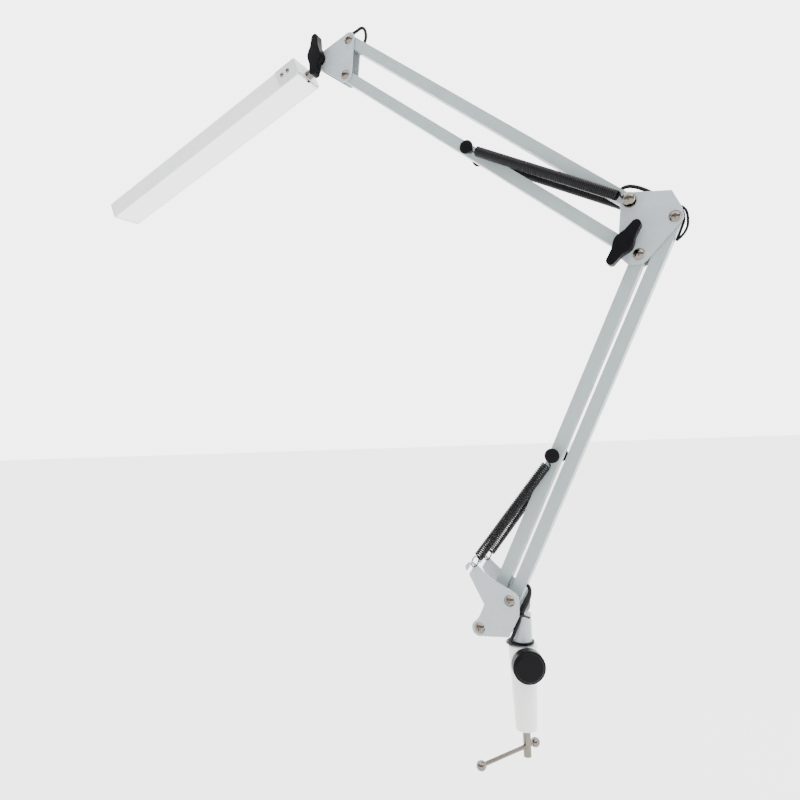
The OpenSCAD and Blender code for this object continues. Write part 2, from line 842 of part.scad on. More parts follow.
// The housing: a channel open below, with a cover lip along its top edges
module light_channel() {
    half = light_w / 2;
    wall = 1.4;
    color(WHITE) in_light() difference() {
        translate([near_x - 2, 0, 0]) rotate([90, 0, -90])
            linear_extrude(near_x - far_x - 4) difference() {
                union() {
                    translate([-half + 0.5, light_foot]) square([light_w - 1, light_h - 1]);
                    translate([-half, web_top - 3.4]) square([light_w, 3.4]);
                }
                translate([-half + wall + 0.4, light_foot - 1])
                    square([light_w - 2 * wall - 0.8, light_h - 1]);
            }
        bracket_holes();
    }
}

module light_end_caps() {
    half = light_w / 2;
    color(WHITE) in_light() difference() {
        for (x = [near_x - 2, far_x])
            translate([x, -half, light_foot - 0.4]) cube([2, light_w, light_h + 0.4]);
        translate([near_x, 0, 0]) rotate([0, 90, 0]) cylinder(r = 7, h = 20, center = true);
    }
}

module light_diffuser() {
    half = light_w / 2 - 1.8;
    color([0.97, 0.97, 0.95]) in_light() translate([near_x - 2.1, 0, 0]) rotate([90, 0, -90])
        linear_extrude(near_x - far_x - 4.2) difference() {
            translate([-half, light_foot]) square([2 * half, 3]);
            translate([-half + 1, light_foot + 1]) square([2 * half - 2, 3]);
        }
}

module led_board() {
    color([0.9, 0.92, 0.86]) in_light() {
        translate([far_x + 8, -9, web_top - 3.2]) cube([near_x - far_x - 24, 18, 1.2]);
        for (k = [0 : 23])
            translate([far_x + 16 + k * 12, -2.5, web_top - 4.4]) cube([5, 5, 1.3]);
    }
}

clamp_frame();
upper_pad();
pressure_pad();
clamp_screw();
tommy_bar();
lock_tip();
lock_screw();
lock_knob();
stem();
stem_collar();
base_cheek_front();
base_cheek_rear();
base_spacers();
base_screws();
base_nuts();
base_cable();
cable_tie();
stem_cable();
lower_bar_a();
lower_cable();
lower_bar_b();
lower_spring_pin();
lower_spring_caps();
lower_spring_front();
lower_spring_rear();
elbow_plate_front();
elbow_plate_rear();
elbow_screws();
elbow_nuts();
elbow_spring_pin();
elbow_wing_nut();
elbow_cable_top();
elbow_cable_side();
upper_bar_a();
upper_cable();
upper_bar_b();
upper_spring_pin();
upper_spring_caps();
upper_spring_front();
upper_spring_rear();
head_cheek_front();
head_cheek_rear();
head_screws();
head_nuts();
head_wing_nut();
head_cable();
head_lead();
knuckle();
knuckle_nut();
light_bracket();
bracket_screws();
light_channel();
light_end_caps();
light_diffuser();
led_board();
cord_tube();
cord_hank();
hank_tie();
plug_body();
plug_shell();
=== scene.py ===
import json
import math

import bmesh
import bpy
from mathutils import Matrix, Vector
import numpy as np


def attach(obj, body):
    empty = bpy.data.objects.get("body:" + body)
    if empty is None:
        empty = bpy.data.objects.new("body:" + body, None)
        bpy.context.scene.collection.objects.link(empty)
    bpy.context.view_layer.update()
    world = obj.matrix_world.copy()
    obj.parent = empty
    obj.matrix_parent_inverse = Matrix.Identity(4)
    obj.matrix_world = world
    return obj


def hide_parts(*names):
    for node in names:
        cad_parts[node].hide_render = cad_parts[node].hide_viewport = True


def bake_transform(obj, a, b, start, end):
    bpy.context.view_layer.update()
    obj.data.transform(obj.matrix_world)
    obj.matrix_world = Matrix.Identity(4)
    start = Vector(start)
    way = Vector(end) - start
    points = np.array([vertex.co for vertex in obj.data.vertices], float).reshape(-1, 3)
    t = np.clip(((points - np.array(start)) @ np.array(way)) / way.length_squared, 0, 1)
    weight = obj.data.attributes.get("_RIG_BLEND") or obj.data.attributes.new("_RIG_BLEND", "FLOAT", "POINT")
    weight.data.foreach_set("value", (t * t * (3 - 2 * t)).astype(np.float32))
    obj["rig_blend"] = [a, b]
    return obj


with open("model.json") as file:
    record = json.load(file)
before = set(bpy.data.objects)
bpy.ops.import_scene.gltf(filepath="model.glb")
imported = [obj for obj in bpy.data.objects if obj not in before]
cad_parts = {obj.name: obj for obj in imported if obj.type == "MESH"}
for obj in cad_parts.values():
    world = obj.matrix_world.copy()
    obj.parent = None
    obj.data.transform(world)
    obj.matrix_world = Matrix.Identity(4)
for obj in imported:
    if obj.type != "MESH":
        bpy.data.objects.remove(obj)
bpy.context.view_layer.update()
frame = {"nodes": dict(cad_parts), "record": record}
scene = bpy.context.scene

# ---------------------------------------------------------------- frames
# The arms move in an upright plane that is turned about the swivel, which stands at SWIVEL_Y.
ARM_TURN = math.radians(18.0)
ARM_COS = math.cos(ARM_TURN)
ARM_SIN = math.sin(ARM_TURN)
SWIVEL_Y = -36
NORMAL = Vector((ARM_SIN, ARM_COS, 0.0))  # square to the arms' plane


def arm(x, z, y=0.0):
    """A point of the arms' plane, or y off it, in millimetres, as a place in the row frame."""
    return Vector(((x * ARM_COS + y * ARM_SIN) / 1000,
                   (SWIVEL_Y - x * ARM_SIN + y * ARM_COS) / 1000, z / 1000))


def mm(x, y, z):
    """A point in millimetres as a place in the row frame."""
    return Vector((x / 1000, y / 1000, z / 1000))


# ---------------------------------------------------------------- camera
CAMERA_PLACE = (-0.00114, -0.67734, 0.2245)
CAMERA_RIGHT = (0.9840, 0.1743, -0.0350)
CAMERA_FORWARD = (-0.1721, 0.9833, 0.0586)
CAMERA_LENS = 28.41
CAMERA_SENSOR = 36.0
CAMERA_NEAR, CAMERA_FAR = 0.01, 50.0

cam_data = bpy.data.cameras.new("camera")
cam = bpy.data.objects.new("camera", cam_data)
scene.collection.objects.link(cam)
right = Vector(CAMERA_RIGHT).normalized()
forward = Vector(CAMERA_FORWARD).normalized()
up = right.cross(forward).normalized()
right = forward.cross(up).normalized()
place = Matrix((right, up, -forward)).transposed().to_4x4()
place.translation = Vector(CAMERA_PLACE)
cam.matrix_world = place
cam_data.sensor_width = CAMERA_SENSOR
cam_data.lens = CAMERA_LENS
cam_data.clip_start = CAMERA_NEAR
cam_data.clip_end = CAMERA_FAR
scene.camera = cam


# ---------------------------------------------------------------- lines and tubes
def smooth_line(points, steps):
    """A Catmull-Rom line through the points, with this many steps from each to the next."""
    out = []
    last = len(points) - 1
    for i in range(last):
        a, b = points[max(i - 1, 0)], points[i]
        c, d = points[i + 1], points[min(i + 2, last)]
        for k in range(steps):
            t = k / steps
            out.append(0.5 * (2 * b + (c - a) * t + (2 * a - 5 * b + 4 * c - d) * t * t
                              + (3 * b - a - 3 * c + d) * t * t * t))
    out.append(points[-1].copy())
    return out


LEAST_STEP = 0.4  # a last step shorter than this share of a step joins the one before it


def even(points, step):
    """The same line, cut in equal steps; the last one takes up what is left."""
    out = [points[0].copy()]
    need = step
    for a, b in zip(points, points[1:]):
        d = (b - a).length
        while d > 1e-12 and need <= d:
            out.append(a.lerp(b, need / d))
            need += step
        need -= d
    if (out[-1] - points[-1]).length > step * LEAST_STEP:
        out.append(points[-1].copy())
    else:
        out[-1] = points[-1].copy()
    return out


def tube(name, line, radii, sides):
    """A round tube along the line, with one radius for each of its points, closed at both ends."""
    tangents = []
    for i in range(len(line)):
        d = line[min(i + 1, len(line) - 1)] - line[max(i - 1, 0)]
        tangents.append(d.normalized())
    side = tangents[0].orthogonal().normalized()
    verts, faces = [], []
    for i, p in enumerate(line):
        side = (side - tangents[i] * side.dot(tangents[i])).normalized()
        other = tangents[i].cross(side)
        for k in range(sides):
            a = 2 * math.pi * k / sides
            verts.append(p + radii[i] * (math.cos(a) * side + math.sin(a) * other))
    for i in range(len(line) - 1):
        for k in range(sides):
            a, b = i * sides + k, i * sides + (k + 1) % sides
            faces.append((a, b, b + sides, a + sides))
    first = len(verts)
    verts += [line[0], line[-1]]
    end = (len(line) - 1) * sides
    for k in range(sides):
        faces.append((first, (k + 1) % sides, k))
        faces.append((first + 1, end + k, end + (k + 1) % sides))
    data = bpy.data.meshes.new(name)
    data.from_pydata([tuple(v) for v in verts], [], faces)
    data.update()
    data.shade_smooth()
    obj = bpy.data.objects.new(name, data)
    scene.collection.objects.link(obj)
    return obj


# ---------------------------------------------------------------- the free cord's shape
CORD_R = 0.00175
CORD_STEP = 0.0009
CORD_SIDES = 12
CORD_SMOOTHING = 4
CORD_START = [  # from the guide in the clamp down to the hank
    (2.5, -2.5, 12.35), (2.5, 5, 12.35), (2.3, 12, 12.35), (1.6, 18.5, 11.7), (0, 25, 9),
    (-2, 31.5, 5.6), (-3.8, 38, 3.1), (-5.2, 45, 1.9), (-5.85, 52, 1.75)]
CORD_TAIL = [  # from the hank to the plug
    (-1.4, 67, 3.9), (-1.4, 75, 2.2), (-1.4, 86, 1.75), (-1.4, 100, 1.75), (-1.4, 114, 1.75),
    (-1.9, 125, 1.75), (-3.8, 135.5, 1.9), (-6.6, 144.5, 2.6), (-8.8, 152.5, 3.4),
    (-9.4, 159, 3.75), (-9.4, 163.5, 3.75)]
# The hank: where its folds' centres lie in Y and Z, its lanes in X, and its folds' radii.
FOLD_NEAR, FOLD_FAR, FOLD_Z = 60.0, 130.0, 15.75
LANES = (-5.85, -9.4, -12.95)
TAIL_LANE = -1.4
OUTER_TURN, INNER_TURN = 14.0, 10.4
SAG, SAG_PHASE = 0.25, 1.7  # the upper runs sag by up to this much, each by its own amount
RUN_STEPS, FOLD_STEPS = 8, 16


def hank_line():
    """Six upright turns side by side, three outside and three inside, then out along the side."""
    out = []
    turns = [(x, OUTER_TURN) for x in LANES] + [(x, INNER_TURN) for x in reversed(LANES)]
    turns.append((TAIL_LANE, INNER_TURN))
    for i, ((x, r), (next_x, next_r)) in enumerate(zip(turns, turns[1:])):
        sag = abs(SAG * math.sin(SAG_PHASE * i))
        for k in range(RUN_STEPS):
            out.append(mm(x, FOLD_NEAR + (FOLD_FAR - FOLD_NEAR) * k / RUN_STEPS, FOLD_Z - r))
        for k in range(FOLD_STEPS + 1):
            a = -math.pi / 2 + math.pi * k / FOLD_STEPS
            out.append(mm(x, FOLD_FAR + r * math.cos(a), FOLD_Z + r * math.sin(a)))
        for k in range(1, RUN_STEPS):
            out.append(mm(x, FOLD_FAR + (FOLD_NEAR - FOLD_FAR) * k / RUN_STEPS,
                          FOLD_Z + r - sag * math.sin(math.pi * k / RUN_STEPS)))
        for k in range(FOLD_STEPS):
            a = math.pi / 2 + math.pi * k / FOLD_STEPS
            t = k / FOLD_STEPS
            w = t * t * (3 - 2 * t)
            radius = r + (next_r - r) * w
            out.append(mm(x + (next_x - x) * w, FOLD_NEAR + radius * math.cos(a),
                          FOLD_Z + radius * math.sin(a)))
    out.append(mm(TAIL_LANE, FOLD_NEAR, FOLD_Z - INNER_TURN))
    return out


cord_line = even(smooth_line([mm(*p) for p in CORD_START] + hank_line()
                             + [mm(*p) for p in CORD_TAIL], CORD_SMOOTHING), CORD_STEP)
cord = tube("free_cord", cord_line, [CORD_R] * len(cord_line), CORD_SIDES)

# ---------------------------------------------------------------- materials
NOISE_LOW, NOISE_HIGH = 0.3, 0.7  # where nearly all of a noise texture's values lie
ROUGH_SPREAD, ROUGH_LEAST = 0.06, 0.02
BUMP_DISTANCE = 0.0002
SLOW_DETAIL, GRAIN_DETAIL, SCRATCH_DETAIL = 4.0, 3.0, 2.0
SCRATCH_SCALE = 2600.0
SCRATCH_STRETCH = (1.0, 1.0, 0.06)


def material(name, color, rough, metallic=0.0, spec=0.5, grain_scale=900.0, bump=0.05,
             mottle=0.03, mottle_scale=60.0, scratches=0.0):
    """A painted, plated or moulded surface: colour and roughness that drift slowly, a fine
    grain, and scratches where they are wanted."""
    m = bpy.data.materials.new(name)
    m.use_nodes = True
    nodes, links = m.node_tree.nodes, m.node_tree.links
    nodes.clear()

    def noise(vector, scale, detail):
        node = nodes.new("ShaderNodeTexNoise")
        node.inputs["Scale"].default_value = scale
        node.inputs["Detail"].default_value = detail
        links.new(vector, node.inputs["Vector"])
        return node.outputs["Fac"]

    def spread(value, low, high):
        node = nodes.new("ShaderNodeMapRange")
        node.inputs["From Min"].default_value = NOISE_LOW
        node.inputs["From Max"].default_value = NOISE_HIGH
        node.inputs["To Min"].default_value = low
        node.inputs["To Max"].default_value = high
        links.new(value, node.inputs["Value"])
        return node.outputs["Result"]

    out = nodes.new("ShaderNodeOutputMaterial")
    bsdf = nodes.new("ShaderNodeBsdfPrincipled")
    links.new(bsdf.outputs["BSDF"], out.inputs["Surface"])
    bsdf.inputs["Metallic"].default_value = metallic
    bsdf.inputs["Specular IOR Level"].default_value = spec

    spot = nodes.new("ShaderNodeTexCoord").outputs["Object"]
    slow = noise(spot, mottle_scale, SLOW_DETAIL)
    tint = nodes.new("ShaderNodeVectorMath")
    tint.operation = "SCALE"
    tint.inputs[0].default_value = color
    links.new(spread(slow, 1.0 - mottle, 1.0 + mottle), tint.inputs["Scale"])
    links.new(tint.outputs["Vector"], bsdf.inputs["Base Color"])
    rough_drift = spread(slow, max(rough - ROUGH_SPREAD, ROUGH_LEAST),
                         min(rough + ROUGH_SPREAD, 1.0))
    links.new(rough_drift, bsdf.inputs["Roughness"])

    height = noise(spot, grain_scale, GRAIN_DETAIL)
    if scratches:
        squeeze = nodes.new("ShaderNodeMapping")
        squeeze.inputs["Scale"].default_value = SCRATCH_STRETCH
        links.new(spot, squeeze.inputs["Vector"])
        both = nodes.new("ShaderNodeMath")
        both.operation = "MULTIPLY_ADD"
        both.inputs[1].default_value = scratches
        lines = noise(squeeze.outputs["Vector"], SCRATCH_SCALE, SCRATCH_DETAIL)
        links.new(lines, both.inputs[0])
        links.new(height, both.inputs[2])
        height = both.outputs["Value"]
    relief = nodes.new("ShaderNodeBump")
    relief.inputs["Strength"].default_value = bump
    relief.inputs["Distance"].default_value = BUMP_DISTANCE
    links.new(height, relief.inputs["Height"])
    links.new(relief.outputs["Normal"], bsdf.inputs["Normal"])
    return m


# Each finish: colour, roughness, and what else material() takes.
FINISHES = {
    "clamp_paint": ((0.67, 0.67, 0.655), 0.24, dict(grain_scale=1500, bump=0.08, mottle=0.015)),
    "arm_paint": ((0.240, 0.280, 0.282), 0.34, dict(grain_scale=1400, bump=0.09, mottle=0.02)),
    "bracket_paint": ((0.292, 0.322, 0.340), 0.26,
                      dict(grain_scale=1400, bump=0.06, mottle=0.02)),
    "light_paint": ((0.66, 0.675, 0.672), 0.30, dict(grain_scale=1400, bump=0.07, mottle=0.015)),
    # nickel: its own brownish metal tone, darkened further as a painted dark reflection of the surroundings,
    # which bright plating mirrors
    "nickel": ((0.140, 0.124, 0.106), 0.12,
               dict(metallic=1.0, grain_scale=2500, bump=0.03, mottle=0.08, scratches=0.5)),
    "zinc": ((0.30, 0.32, 0.34), 0.34,
             dict(metallic=1.0, grain_scale=1800, bump=0.06, mottle=0.08, scratches=0.8)),
    "spring_black": ((0.004, 0.004, 0.005), 0.34,
                     dict(grain_scale=3000, bump=0.04, mottle=0.2, spec=0.16)),
    "knob_black": ((0.003, 0.003, 0.0035), 0.36,
                   dict(grain_scale=1200, bump=0.04, mottle=0.15, spec=0.06)),
    "tip_nylon": ((0.78, 0.77, 0.72), 0.5, dict(grain_scale=1600, bump=0.08)),
    "pad_rubber": ((0.02, 0.02, 0.021), 0.75,
                   dict(grain_scale=1800, bump=0.25, mottle=0.15, spec=0.3)),
    "cable_black": ((0.004, 0.004, 0.005), 0.45,
                    dict(grain_scale=1500, bump=0.04, mottle=0.2, spec=0.15)),
    "tie_black": ((0.006, 0.006, 0.006), 0.40,
                  dict(grain_scale=1600, bump=0.08, mottle=0.1, spec=0.2)),
    "plug_black": ((0.010, 0.010, 0.011), 0.45,
                   dict(grain_scale=1600, bump=0.14, mottle=0.1, spec=0.3)),
    "plug_metal": ((0.64, 0.63, 0.61), 0.22,
                   dict(metallic=1.0, grain_scale=2400, bump=0.05, scratches=0.5)),
    "diffuser": ((0.86, 0.865, 0.85), 0.55, dict(grain_scale=1800, bump=0.12, mottle=0.01)),
    # light_plate: a grey darker than the housing; the extra darkness is a painted dark reflection on the
    # bracket's glossy faces
    "light_plate": ((0.47, 0.485, 0.49), 0.26, dict(grain_scale=1400, bump=0.06, mottle=0.02)),
    "led_board": ((0.70, 0.72, 0.64), 0.45, dict(grain_scale=1200, bump=0.05, mottle=0.03)),
}
MATS = {name: material(name, color, rough, **extra)
        for name, (color, rough, extra) in FINISHES.items()}
SLOT_OF = {part["node"]: part["material_slot"] for part in frame["record"]["subparts"]}
BODY_OF = {node: body for body, nodes in frame["record"]["behaviour"]["bodies"].items()
           for node in nodes}


def dress(obj, slot):
    """Gives the piece the finish made for its material slot."""
    obj.data.materials.clear()
    obj.data.materials.append(MATS[slot])


# ---------------------------------------------------------------- CAD nodes with broken edges
MERGE = 1e-6  # points nearer than this are one point
FLAT = math.radians(0.6)  # faces that meet at less than this are one face
EDGE_ANGLE, SCREW_ANGLE = 28.0, 35.0  # in degrees; see refine()
SHARP = math.radians(32)  # an edge from this angle on stays sharp where a node is shown as it is


def refine(node, width, segments=2, angle=EDGE_ANGLE):
    """A copy of a CAD node, with edges sharper than the angle rounded over the width, in mm."""
    data = frame["nodes"][node].data.copy()
    data.name = node + "_shape"
    bm = bmesh.new()
    bm.from_mesh(data)
    bmesh.ops.remove_doubles(bm, verts=bm.verts, dist=MERGE)
    bmesh.ops.dissolve_limit(bm, angle_limit=FLAT, verts=bm.verts, edges=bm.edges,
                             delimit={"NORMAL"})
    bm.to_mesh(data)
    bm.free()
    for key in list(data.attributes.keys()):
        if key.startswith("_FK") or key == "custom_normal":
            data.attributes.remove(data.attributes[key])
    obj = bpy.data.objects.new(node + "_piece", data)
    scene.collection.objects.link(obj)
    data.shade_smooth()
    mod = obj.modifiers.new("edges", "BEVEL")
    mod.width = width / 1000
    mod.segments = segments
    mod.limit_method = "ANGLE"
    mod.angle_limit = math.radians(angle)
    mod.miter_outer = "MITER_ARC"
    mod.harden_normals = True
    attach(obj, BODY_OF[node])
    dress(obj, SLOT_OF[node])
    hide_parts(node)


SCREW_EDGE, NUT_EDGE = 0.12, 0.2
WIDE_EDGE = 0.7  # from this width on, an edge is rounded in one more segment
EDGES = {
    "clamp_frame": 0.9, "stem": 0.7, "stem_collar": 0.9,
    "base_cheek_front": 0.28, "base_cheek_rear": 0.28,
    "elbow_plate_front": 0.28, "elbow_plate_rear": 0.28,
    "head_cheek_front": 0.28, "head_cheek_rear": 0.28,
    "lower_bar_a": 0.45, "lower_bar_b": 0.45, "upper_bar_a": 0.45, "upper_bar_b": 0.45,
    "light_channel": 0.4, "light_bracket": 0.35, "light_end_caps": 0.45, "light_diffuser": 0.25,
    "elbow_wing_nut": 1.5, "head_wing_nut": 1.5, "lock_knob": 1.5,
    "pressure_pad": 0.5, "plug_body": 0.8, "plug_shell": 0.2, "hank_tie": 0.3,
    "base_spacers": 0.25, "lower_spring_caps": 0.45, "upper_spring_caps": 0.45,
    "upper_pad": 0.35, "knuckle": 0.3,
}
for node, width in EDGES.items():
    refine(node, width, segments=3 if width >= WIDE_EDGE else 2)
for node in ("base_screws", "elbow_screws", "head_screws", "elbow_spring_pin", "bracket_screws"):
    refine(node, SCREW_EDGE, segments=1, angle=SCREW_ANGLE)
for node in ("base_nuts", "elbow_nuts", "head_nuts", "knuckle_nut"):
    refine(node, NUT_EDGE)
# The light's bracket keeps its slot, but takes a grey darker than the housing: a painted dark reflection,
# standing in for the dark surroundings its glossy faces mirror.
bpy.data.objects["light_bracket_piece"].data.materials[0] = MATS["light_plate"]

# CAD nodes shown in their own shape
for node in ("clamp_screw", "tommy_bar", "lock_tip", "lock_screw", "lower_spring_pin",
             "upper_spring_pin", "led_board", "lower_cable", "upper_cable", "cable_tie"):
    obj = frame["nodes"][node]
    dress(obj, SLOT_OF[node])
    obj.data.shade_smooth()
    obj.data.set_sharp_from_angle(angle=SHARP)

# ---------------------------------------------------------------- the free cord
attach(cord, "clamp")
dress(cord, "cable_black")
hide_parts("cord_tube", "cord_hank")

# ---------------------------------------------------------------- the lamp's own cable
LEAD_STEP = 0.0012
LEAD_SIDES = 14
LEAD_SMOOTHING = 10
STRAND_R = 0.0012
# The sleeve of the base cable: how much it adds to the radius, and in mm how high it begins and
# ends and over what height it reaches its full thickness from each of them.
SLEEVE_EXTRA = 0.0012
SLEEVE_LOW, SLEEVE_HIGH = 50.5, 71.0
SLEEVE_RISE, SLEEVE_TAPER = 3.0, 9.0


def lead(name, node, points, fixed, moving=None, start=None, end=None,
         thickness=lambda p: CORD_R):
    """A stretch of the lamp's cable for a CAD node; points are (x, off the plane, z) in mm.
    It rides on the fixed body, or bends between the two bodies from start to end."""
    line = even(smooth_line([arm(x, z, y) for x, y, z in points], LEAD_SMOOTHING), LEAD_STEP)
    obj = tube(name, line, [thickness(p) for p in line], LEAD_SIDES)
    if moving is None:
        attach(obj, fixed)
    else:
        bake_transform(obj, fixed, moving, start, end)
    dress(obj, "cable_black")
    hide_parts(node)


def sleeve(p):
    """The base cable's radius at p; it is thicker in the sleeve above the tie."""
    z = p.z * 1000
    w = (min(max((z - SLEEVE_LOW) / SLEEVE_RISE, 0), 1)
         * min(max((SLEEVE_HIGH - z) / SLEEVE_TAPER, 0), 1))
    return CORD_R + SLEEVE_EXTRA * w


lead("head_lead_piece", "head_lead", [
    (-208, 0, 681.6), (-204, 0, 686), (-198, 0, 689), (-191, 0, 691.5), (-184.2, 0, 694)],
     "head_bracket")
lead("head_cable_piece", "head_cable", [
    (-184, 0, 694), (-178, 0, 696), (-172, 0, 697), (-166, 0, 698.5), (-160.5, 0, 700),
    (-156.4, 0, 697.6), (-154.6, 0, 692.5), (-154.4, 0, 687), (-155.8, 0, 682.4),
    (-158.4, 0, 679.4)],
     "head_bracket", "upper_bar_a", arm(-172, 697), arm(-155, 688))
lead("elbow_cable_top_piece", "elbow_cable_top", [
    (113.5, 0, 446.4), (115.4, 0, 448.2), (118.6, 0, 449.4), (123.4, 0, 449.2),
    (128.8, 0, 447.2), (134.6, 0, 443.9), (140, 0, 440), (150, 0, 431), (160, 0, 423)],
     "elbow", "upper_bar_a", arm(134.6, 443.9), arm(116, 448.4))

# Beside the elbow the cable shows as two thinner strands, each at its own y off the plane.
for word, y, strand in (
        ("outer", -0.6, [(160.2, 422.8), (165.4, 421.4), (169.0, 416.6), (169.9, 409.4),
                         (169.0, 402.2), (165.2, 396.0), (159.4, 391.2)]),
        ("inner", 0.8, [(160.2, 422.4), (164.7, 419.6), (166.8, 414.2), (166.5, 408.2),
                        (164.2, 402.2), (161.8, 396.6), (159.4, 391.6)])):
    lead("elbow_cable_side_" + word, "elbow_cable_side", [(x, y, z) for x, z in strand],
         "elbow", "lower_bar_a", arm(171, 413), arm(161.4, 392.4), lambda p: STRAND_R)

lead("base_cable_piece", "base_cable", [
    (5.6, 0, 76.3), (8.6, -0.4, 74.6), (10.3, -1.6, 71.2), (9.8, -3.8, 66.4),
    (7.6, -7.2, 60.6), (5.2, -10.4, 55), (3.4, -12.4, 50)],
     "swivel", "lower_bar_a", arm(5.2, 55, -10.4), arm(9, 74.4, 0), sleeve)
lead("stem_cable_piece", "stem_cable", [
    (3.4, -12.4, 50), (1.6, -13.2, 43), (-1.4, -13.8, 36.5), (-5, -13.9, 29),
    (-8.6, -12.3, 23.6), (-12, -8.4, 20.8), (-14.2, -2, 20.1), (-13.3, 5.5, 20),
    (-9.6, 11.4, 20), (-6, 15.2, 19.2), (-4.4, 19.2, 16.4), (-4.6, 22.6, 13.6),
    (-5.7, 25.6, 12.5), (-7.9, 32.5, 12.35)],
     "swivel", "clamp", arm(1.6, 43, -13.2), arm(-5.7, 12.5, 25.6))

# ---------------------------------------------------------------- springs
COIL_R = 0.00427
RING_WIRE = 0.00065  # the radius of the thinner wire of the end rings
PIN_RING_R = 0.0043
HOOK_RING_R = 0.0056
RING_SPAN = math.radians(305)
RING_STEPS = 40
TURN_STEPS = 18
LEAD_IN_STEPS = 10
WIRE_SIDES = 8
SPRING_CUTS = (0.0, 0.06, 0.15, 0.32, 0.6, 1.0)  # where a spring's stretches begin and end

# Of each pair of springs: the wire's radius, the pitch and the ease (see spring()).
UPPER_COIL = (0.00096, 0.00194, 0.5)
LOWER_COIL = (0.00082, 0.0021, 0.8)


def direction(degrees):
    """The unit vector at this angle in the arms' plane."""
    return Vector((math.cos(math.radians(degrees)), math.sin(math.radians(degrees))))


# What the springs hang on, in mm: the arms' pivots, the pins across the bars, the base's hooks.
LOWER_DIRECTION = direction(64.6)
UPPER_DIRECTION = direction(139.4)
LOWER_LENGTH = 385
LOWER_PIN_REACH = 185
UPPER_PIN_REACH = 194
BASE_A = Vector((-5.0, 63.6))
BASE_B = BASE_A - Vector((31.8, 28.8))
TOP_A = BASE_A + LOWER_LENGTH * LOWER_DIRECTION + Vector((-37.2, 21.4))
TOP_B = TOP_A - Vector((5.8, 40.7))
LOWER_PIN = BASE_B + LOWER_PIN_REACH * LOWER_DIRECTION
UPPER_PIN = TOP_B + UPPER_PIN_REACH * UPPER_DIRECTION
HOOK = BASE_A + Vector((-37.3, 31.2))
PIN_Y = 13.6
HOOK_Y = 18.25
# How far each ring's centre, and each end of the close coils, lies along the spring from there.
TOP_RING, HOOK_RING, PIN_RING = 0.5, 5.6, 0.9
COILS_OFF, COILS_OFF_HOOK = 11, 11.5
LEAN_START = 0.1  # the share of a lower spring's lean that is taken up before its close coils


def ring(centre, along, across, radius, first, last):
    """Points round a ring, from the angle first to the angle last."""
    angles = [first + (last - first) * k / RING_STEPS for k in range(RING_STEPS + 1)]
    return [centre + radius * (math.cos(a) * along + math.sin(a) * across) for a in angles]


def smooth_inverse(w):
    """The u at which 3u^2 - 2u^3 is w."""
    return 0.5 - math.sin(math.asin(1.0 - 2.0 * w) / 3.0)


def spring(node, fixed, moving, pivot, ring_p, ring_q, body_p, body_q, coil):
    """An end ring, close coils from body_p to body_q, and another end ring.

    Each ring is its centre, its direction across the spring and its radius. The wire is made
    in stretches, each blended between the two bodies over its own length, so that the share
    of the arm's turn about the pivot that each point takes keeps the spring nearly straight;
    an ease below 1 lets the points near ring_p take more of it."""
    centre_p, across_p, radius_p = ring_p
    centre_q, across_q, radius_q = ring_q
    wire, pitch, ease = coil
    axis = (body_q - body_p).normalized()
    u = (across_p - axis * across_p.dot(axis)).normalized()
    v = axis.cross(u)
    start = centre_p + axis * radius_p
    finish = centre_q - axis * radius_q

    out = ring(centre_p, axis, across_p, radius_p, -RING_SPAN, 0.0)[:-1]
    radii = [RING_WIRE] * len(out)
    n = round((body_q - body_p).length / pitch) * TURN_STEPS
    for k in range(-LEAD_IN_STEPS, n + LEAD_IN_STEPS + 1):
        if k < 0:
            t = (k + LEAD_IN_STEPS) / LEAD_IN_STEPS
            p, radius = start.lerp(body_p, t), COIL_R * t
        elif k > n:
            t = (k - n) / LEAD_IN_STEPS
            p, radius = body_q.lerp(finish, t), COIL_R * (1 - t)
        else:
            p, radius = body_p.lerp(body_q, k / n), COIL_R
        a = 2 * math.pi * (k + LEAD_IN_STEPS) / TURN_STEPS
        out.append(p + radius * (math.cos(a) * u + math.sin(a) * v))
        radii.append(RING_WIRE + (wire - RING_WIRE) * radius / COIL_R)
    a = 2 * math.pi * (n + 2 * LEAD_IN_STEPS) / TURN_STEPS
    inward = -(math.cos(a) * u + math.sin(a) * v)
    sign = 1.0 if inward.dot(across_q) >= 0 else -1.0
    out += ring(centre_q, -axis, sign * across_q, radius_q, 0.0, RING_SPAN)[1:]
    radii += [RING_WIRE] * (len(out) - len(radii))

    line = finish - start
    reach = ease * (start - pivot).dot(line) / line.length
    shares = [t * (reach + line.length) / (reach + line.length * t) for t in SPRING_CUTS]
    first = 0
    for k in range(len(SPRING_CUTS) - 1):
        t0, t1 = SPRING_CUTS[k], SPRING_CUTS[k + 1]
        last = len(out) - 1
        if t1 < 1.0:
            last = next(i for i in range(first + 1, len(out))
                        if (out[i] - start).dot(line) >= t1 * line.dot(line))
        piece = tube("%s_wire_%d" % (node, k + 1), out[first:last + 1], radii[first:last + 1],
                     WIRE_SIDES)
        u0, u1 = smooth_inverse(shares[k]), smooth_inverse(shares[k + 1])
        step = (t1 - t0) / (u1 - u0)
        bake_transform(piece, fixed, moving, tuple(start + line * (t0 - u0 * step)),
                 tuple(start + line * (t0 + (1.0 - u0) * step)))
        dress(piece, "spring_black")
        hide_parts(node)
        first = last


def pair(p, q):
    """The unit vector from p to q in the plane, and the one square to it in the row frame."""
    d = (q - p).normalized()
    return d, (arm(-d.y, d.x) - arm(0, 0)).normalized()


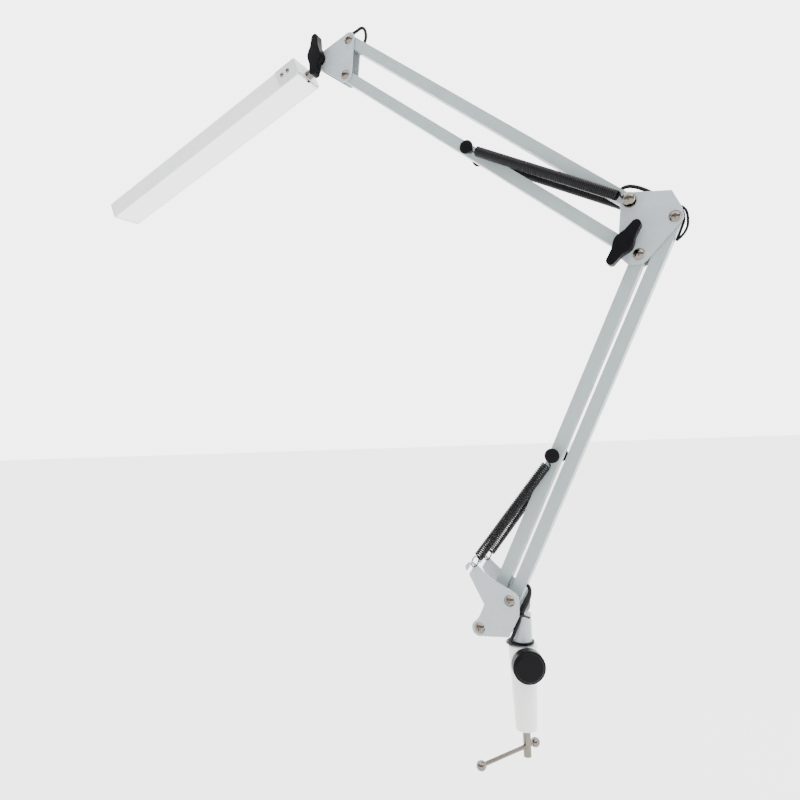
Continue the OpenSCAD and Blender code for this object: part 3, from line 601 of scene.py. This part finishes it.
for side, word in ((-1, "front"), (1, "rear")):
    d, across = pair(TOP_A, UPPER_PIN)
    y = side * PIN_Y
    ring_p, ring_q = TOP_A + TOP_RING * d, UPPER_PIN - PIN_RING * d
    body_p, body_q = TOP_A + COILS_OFF * d, UPPER_PIN - COILS_OFF * d
    spring("upper_spring_" + word, "elbow", "upper_bar_b", arm(TOP_B.x, TOP_B.y, y),
           (arm(ring_p.x, ring_p.y, y), across, PIN_RING_R),
           (arm(ring_q.x, ring_q.y, y), across, PIN_RING_R),
           arm(body_p.x, body_p.y, y), arm(body_q.x, body_q.y, y), UPPER_COIL)

    # The lower springs lean a little towards the arm, from the hooks in to the pin.
    d, across = pair(HOOK, LOWER_PIN)
    hook_y, pin_y = side * HOOK_Y, side * PIN_Y
    ring_p, ring_q = HOOK + HOOK_RING * d, LOWER_PIN - PIN_RING * d
    body_p, body_q = HOOK + COILS_OFF_HOOK * d, LOWER_PIN - COILS_OFF * d
    spring("lower_spring_" + word, "swivel", "lower_bar_b", arm(BASE_B.x, BASE_B.y, pin_y),
           (arm(ring_p.x, ring_p.y, hook_y), (across + NORMAL).normalized(), HOOK_RING_R),
           (arm(ring_q.x, ring_q.y, pin_y), across, PIN_RING_R),
           arm(body_p.x, body_p.y, hook_y + (pin_y - hook_y) * LEAN_START),
           arm(body_q.x, body_q.y, pin_y), LOWER_COIL)

# ---------------------------------------------------------------- stage and light
FLOOR_Z = -0.30
FLOOR_SIZE = 60
AIM = Vector((0, 0, 0.3))

bpy.ops.mesh.primitive_plane_add(size=FLOOR_SIZE, location=(0, 0, FLOOR_Z))
floor = bpy.context.object
floor.name = "floor"
floor.data.materials.append(material("floor_pale", (0.93, 0.93, 0.93), 0.9, grain_scale=40,
                                     bump=0.02, mottle=0.004, mottle_scale=2.0, spec=0.1))

# A white room, brighter ahead of the camera and overhead than behind it.
ROOM_LOW, ROOM_HIGH = 1.0, 5.0
world = bpy.data.worlds.new("studio")
scene.world = world
world.use_nodes = True
nodes, links = world.node_tree.nodes, world.node_tree.links
background = nodes["Background"]
background.inputs["Color"].default_value = (1.0, 1.0, 1.0, 1.0)
look = nodes.new("ShaderNodeTexCoord")
axes = nodes.new("ShaderNodeSeparateXYZ")
links.new(look.outputs["Generated"], axes.inputs["Vector"])
larger = nodes.new("ShaderNodeMath")
larger.operation = "MAXIMUM"
for i, (axis, dim, full) in enumerate((("Y", -0.45, 0.55), ("Z", 0.50, 0.85))):
    share = nodes.new("ShaderNodeMapRange")
    share.interpolation_type = "SMOOTHSTEP"
    share.inputs["From Min"].default_value = dim
    share.inputs["From Max"].default_value = full
    links.new(axes.outputs[axis], share.inputs["Value"])
    links.new(share.outputs["Result"], larger.inputs[i])
level = nodes.new("ShaderNodeMapRange")
level.inputs["To Min"].default_value = ROOM_LOW
level.inputs["To Max"].default_value = ROOM_HIGH
links.new(larger.outputs["Value"], level.inputs["Value"])
links.new(level.outputs["Result"], background.inputs["Strength"])

for name, spot, size, power in (("key", (1.0, -1.4, 1.7), (0.5, 0.5), 10),
                                ("side", (1.6, -0.7, 0.6), (0.4, 1.6), 14)):
    data = bpy.data.lights.new(name, "AREA")
    data.shape = "RECTANGLE"
    data.size, data.size_y = size
    data.energy = power
    lamp = bpy.data.objects.new(name, data)
    scene.collection.objects.link(lamp)
    lamp.location = spot
    lamp.rotation_euler = (AIM - Vector(spot)).to_track_quat("-Z", "Y").to_euler()
